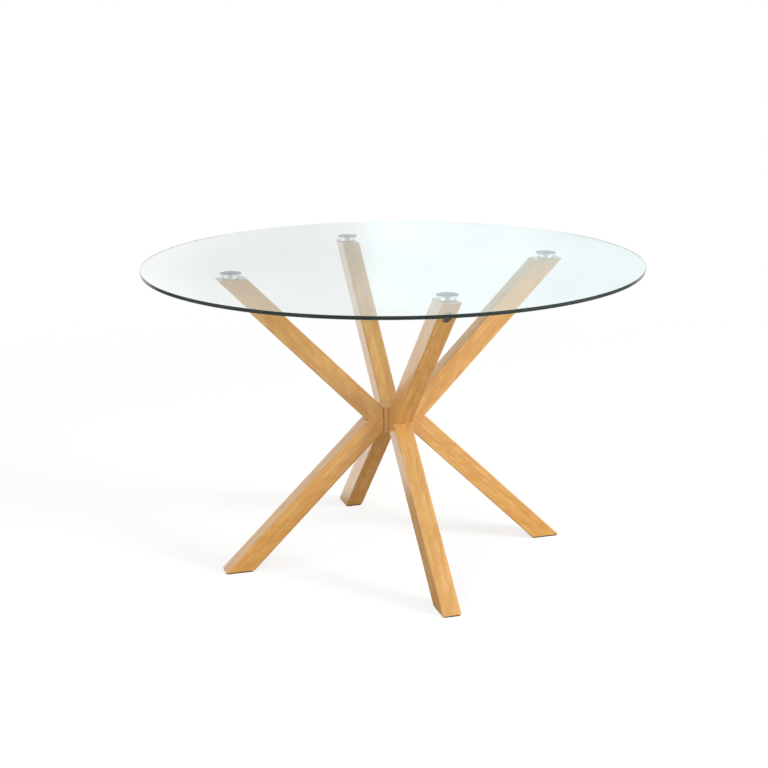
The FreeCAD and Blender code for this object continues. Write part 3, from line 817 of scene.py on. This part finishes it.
ray = add(tree, "ShaderNodeLightPath").outputs
slant = add(tree, "ShaderNodeLayerWeight", {"Blend": SLANT_BLEND})
turned_back = add(tree, "ShaderNodeMath", {1: SLANT_POWER}, {0: slant.outputs["Facing"]}, operation="POWER")
let_in = add(tree, "ShaderNodeMix", {6: linear(LET_IN_TONE), 7: linear(TURNED_BACK_TONE)},
             {0: turned_back.outputs[0]}, data_type="RGBA")
straight = add(tree, "ShaderNodeBsdfTransparent", {}, {"Color": let_in.outputs[2]})
soft = add(tree, "ShaderNodeMixShader", {},
           {0: ray["Is Diffuse Ray"], 1: rimmed.outputs[0], 2: straight.outputs[0]})
lit = add(tree, "ShaderNodeMixShader", {},
          {0: ray["Is Shadow Ray"], 1: soft.outputs[0], 2: straight.outputs[0]})
body = add(tree, "ShaderNodeVolumeAbsorption", {"Color": linear(BODY_TONE), "Density": BODY_DENSITY})
add(tree, "ShaderNodeOutputMaterial", {}, {"Surface": lit.outputs[0], "Volume": body.outputs[0]})
print(float_glass.name, "density", BODY_DENSITY)

# %% [markdown]
# The glass, the flanges under it and the collars are all round, and the CAD shows them in flat facets,
# which polished surfaces give away. Each could be a stack of cylinders, but a lathe is closer to how they
# are made. One tree of Geometry Nodes sweeps a half outline round an axis. Edges that bend sharply stay
# creased, and all others are shaded smooth.

# %% Lathe tree
AXIS_RADIUS = 0.001 * MM
WELD = 0.01 * MM
SHARP_ANGLE = math.radians(40)

lathe = bpy.data.node_groups.new("lathe", "GeometryNodeTree")
sockets = {}
for name, kind in (("Outline", "Geometry"), ("Segments", "Int"), ("Copies", "Int"),
                   ("Ring radius", "Float"), ("Finish", "Material")):
    socket = lathe.interface.new_socket(name, in_out="INPUT", socket_type=f"NodeSocket{kind}")
    sockets[name] = socket.identifier
lathe.interface.new_socket("Pieces", in_out="OUTPUT", socket_type="NodeSocketGeometry")
given = add(lathe, "NodeGroupInput").outputs
outline = add(lathe, "GeometryNodeMeshToCurve", {}, {"Mesh": given["Outline"]})
axis = add(lathe, "GeometryNodeCurvePrimitiveCircle", {"Radius": AXIS_RADIUS},
           {"Resolution": given["Segments"]})
turned = add(lathe, "GeometryNodeCurveToMesh", {},
             {"Curve": axis.outputs["Curve"], "Profile Curve": outline.outputs["Curve"]})
welded = add(lathe, "GeometryNodeMergeByDistance", {"Distance": WELD}, {"Geometry": turned.outputs["Mesh"]})
smooth = add(lathe, "GeometryNodeSetShadeSmooth", {}, {"Geometry": welded.outputs["Geometry"]})
bend = add(lathe, "GeometryNodeInputMeshEdgeAngle")
crease = add(lathe, "FunctionNodeCompare", {"B": SHARP_ANGLE}, {"A": bend.outputs["Unsigned Angle"]},
             operation="GREATER_THAN")
creased = add(lathe, "GeometryNodeSetShadeSmooth", {"Shade Smooth": False},
              {"Geometry": smooth.outputs["Geometry"], "Selection": crease.outputs["Result"]},
              domain="EDGE")
print("lathe inputs:", list(sockets))

# %% [markdown]
# Flanges and collars come four at a time, so the tree goes on to set copies of the turned shape on a
# ring. They could be placed one by one, but here each point's number gives its angle. The copies are made
# real and get their material, because an export drops instances.

# %% Copies on a ring
turn = add(lathe, "ShaderNodeMath", {0: 2 * math.pi}, {1: given["Copies"]}, operation="DIVIDE")
count = add(lathe, "GeometryNodeInputIndex")
angle = add(lathe, "ShaderNodeMath", {}, {0: count.outputs[0], 1: turn.outputs[0]}, operation="MULTIPLY")
across = add(lathe, "ShaderNodeMath", {}, {0: angle.outputs[0]}, operation="COSINE")
back = add(lathe, "ShaderNodeMath", {}, {0: angle.outputs[0]}, operation="SINE")
unit = add(lathe, "ShaderNodeCombineXYZ", {}, {"X": across.outputs[0], "Y": back.outputs[0]})
place = add(lathe, "ShaderNodeVectorMath", {}, {0: unit.outputs[0], "Scale": given["Ring radius"]},
            operation="SCALE")
ring = add(lathe, "GeometryNodePoints", {}, {"Count": given["Copies"], "Position": place.outputs[0]})
copies = add(lathe, "GeometryNodeInstanceOnPoints", {},
             {"Points": ring.outputs[0], "Instance": creased.outputs["Geometry"]})
real = add(lathe, "GeometryNodeRealizeInstances", {}, {"Geometry": copies.outputs[0]})
finished = add(lathe, "GeometryNodeSetMaterial", {},
               {"Geometry": real.outputs[0], "Material": given["Finish"]})
add(lathe, "NodeGroupOutput", {}, {0: finished.outputs[0]})
print(lathe.name, "has", len(lathe.nodes), "nodes")

# %% [markdown]
# An outline is a list of corners: how far from the axis, how high, and how much the corner is rounded. A
# bevel modifier could round the rims later, but an arc of a few points in the outline is exact.

# %% Outlines
ARC_STEPS = 4


def outline_points(corners):
    """The outline's points, with a quarter arc at each rounded square corner."""
    points = []
    for index, (radius, height, rounding) in enumerate(corners):
        corner = Vector((radius, height))
        if not rounding:
            points.append(corner)
            continue
        before = (Vector(corners[index - 1][:2]) - corner).normalized() * rounding
        after = (Vector(corners[(index + 1) % len(corners)][:2]) - corner).normalized() * rounding
        for step in range(ARC_STEPS + 1):
            angle = math.pi / 2 * step / ARC_STEPS
            points.append(corner + before * (1 - math.sin(angle)) + after * (1 - math.cos(angle)))
    return points


print("a rounded corner has", ARC_STEPS + 1, "points")

# %% [markdown]
# To turn a piece, its outline becomes a mesh of edges with the lathe tree as a modifier. The modifier
# could stay live, but the pieces are handed over as plain meshes, so the result is taken once and its
# faces are turned outwards.

# %% Turning


def turned_piece(name, corners, closed, segments, copies, ring_radius, finish):
    """A piece turned on the lathe tree and made a plain mesh."""
    points = outline_points(corners)
    links = [(index, index + 1) for index in range(len(points) - 1)]
    if closed:
        links.append((len(points) - 1, 0))
    drawing = bpy.data.meshes.new(f"{name}_outline")
    # The sweep lays an outline's second coordinate downwards.
    drawing.from_pydata([(point.x, -point.y, 0) for point in points], links, [])
    piece = bpy.data.objects.new(name, drawing)
    scene.collection.objects.link(piece)
    modifier = piece.modifiers.new("lathe", "NODES")
    modifier.node_group = lathe
    for socket, value in (("Segments", segments), ("Copies", copies), ("Ring radius", ring_radius),
                          ("Finish", finish)):
        modifier[sockets[socket]] = value
    graph = bpy.context.evaluated_depsgraph_get()
    mesh = bpy.data.meshes.new_from_object(piece.evaluated_get(graph), depsgraph=graph)
    piece.modifiers.clear()
    piece.data = mesh
    bpy.data.meshes.remove(drawing)
    work = bmesh.new()
    work.from_mesh(mesh)
    bmesh.ops.recalc_face_normals(work, faces=work.faces)
    work.to_mesh(mesh)
    work.free()
    low = [round(min(v.co[i] for v in mesh.vertices), 4) for i in range(3)]
    high = [round(max(v.co[i] for v in mesh.vertices), 4) for i in range(3)]
    print(name, len(mesh.polygons), "faces, box", low, high)
    return piece


# %% [markdown]
# The glass has a flat polished edge with a small rounded arris above and below. The CAD's own disc could
# stay, but its facets show along the rim, which is the longest curve in the picture, so it gets many
# segments. Near each rim the outline has one more point on the flat face, which holds the face's shading
# flat, so that reflections stay straight right up to the rim.

# %% Glass top
RIM_ROUND = 1 * MM
RIM_HOLD = 4 * MM
GLASS_SEGMENTS = 360

low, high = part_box("glass_top")
glass = turned_piece("float_glass_top", [
    (0, low.z, 0),
    (GLASS_RADIUS - RIM_HOLD, low.z, 0),
    (GLASS_RADIUS, low.z, RIM_ROUND),
    (GLASS_RADIUS, high.z, RIM_ROUND),
    (GLASS_RADIUS - RIM_HOLD, high.z, 0),
    (0, high.z, 0),
], False, GLASS_SEGMENTS, 1, 0, float_glass)
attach(glass, "root")
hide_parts("glass_top")

# %% [markdown]
# Under the glass sit four flanges, bonded to it, each with a threaded boss that reaches down into a
# collar. Their lower rims are rounded, and the boss is a plain turned stub with a hole for the bolt. The
# thread itself is hidden, so it is left smooth.

# %% Flanges
FLANGE_ROUND = 0.8 * MM
BOSS_RADIUS = 10 * MM
THREAD_RADIUS = 4.2 * MM
STEEL_HOLD = 2.5 * MM
STEEL_SEGMENTS = 96

flange_low, flange_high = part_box("glass_disc_right")
collar_low, collar_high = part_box("collar_right")
flange_radius = (flange_high.y - flange_low.y) / 2
flanges = turned_piece("glass_flanges", [
    (0, collar_high.z, 0),
    (THREAD_RADIUS, collar_high.z, 0),
    (THREAD_RADIUS, flange_low.z, 0),
    (BOSS_RADIUS, flange_low.z, 0),
    (BOSS_RADIUS, collar_high.z, 0),
    (flange_radius - STEEL_HOLD, collar_high.z, 0),
    (flange_radius, collar_high.z, FLANGE_ROUND),
    (flange_radius, flange_high.z, 0),
    (0, flange_high.z, 0),
], False, STEEL_SEGMENTS, len(STATIONS), FIXING_RADIUS, polished_steel)
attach(flanges, "root")
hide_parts(*[f"glass_disc_{station}" for station in STATIONS])

# %% [markdown]
# A collar is a short polished ring round the boss, between the flange and the level cut of the bar. It
# could be a tube primitive, but then its rims would stay sharp. Its outline is a closed loop that keeps
# away from the axis, so the ring is hollow, with a small gap to the boss.

# %% Collars
COLLAR_ROUND = 1.2 * MM
FIT_GAP = 0.2 * MM

collar_radius = (collar_high.y - collar_low.y) / 2
collars = turned_piece("leg_collars", [
    (BOSS_RADIUS + FIT_GAP, collar_low.z, 0),
    (collar_radius - STEEL_HOLD, collar_low.z, 0),
    (collar_radius, collar_low.z, COLLAR_ROUND),
    (collar_radius, collar_high.z, COLLAR_ROUND),
    (collar_radius - STEEL_HOLD, collar_high.z, 0),
    (BOSS_RADIUS + FIT_GAP, collar_high.z, 0),
], True, STEEL_SEGMENTS, len(STATIONS), FIXING_RADIUS, polished_steel)
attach(collars, "root")
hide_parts(*[f"collar_{station}" for station in STATIONS])
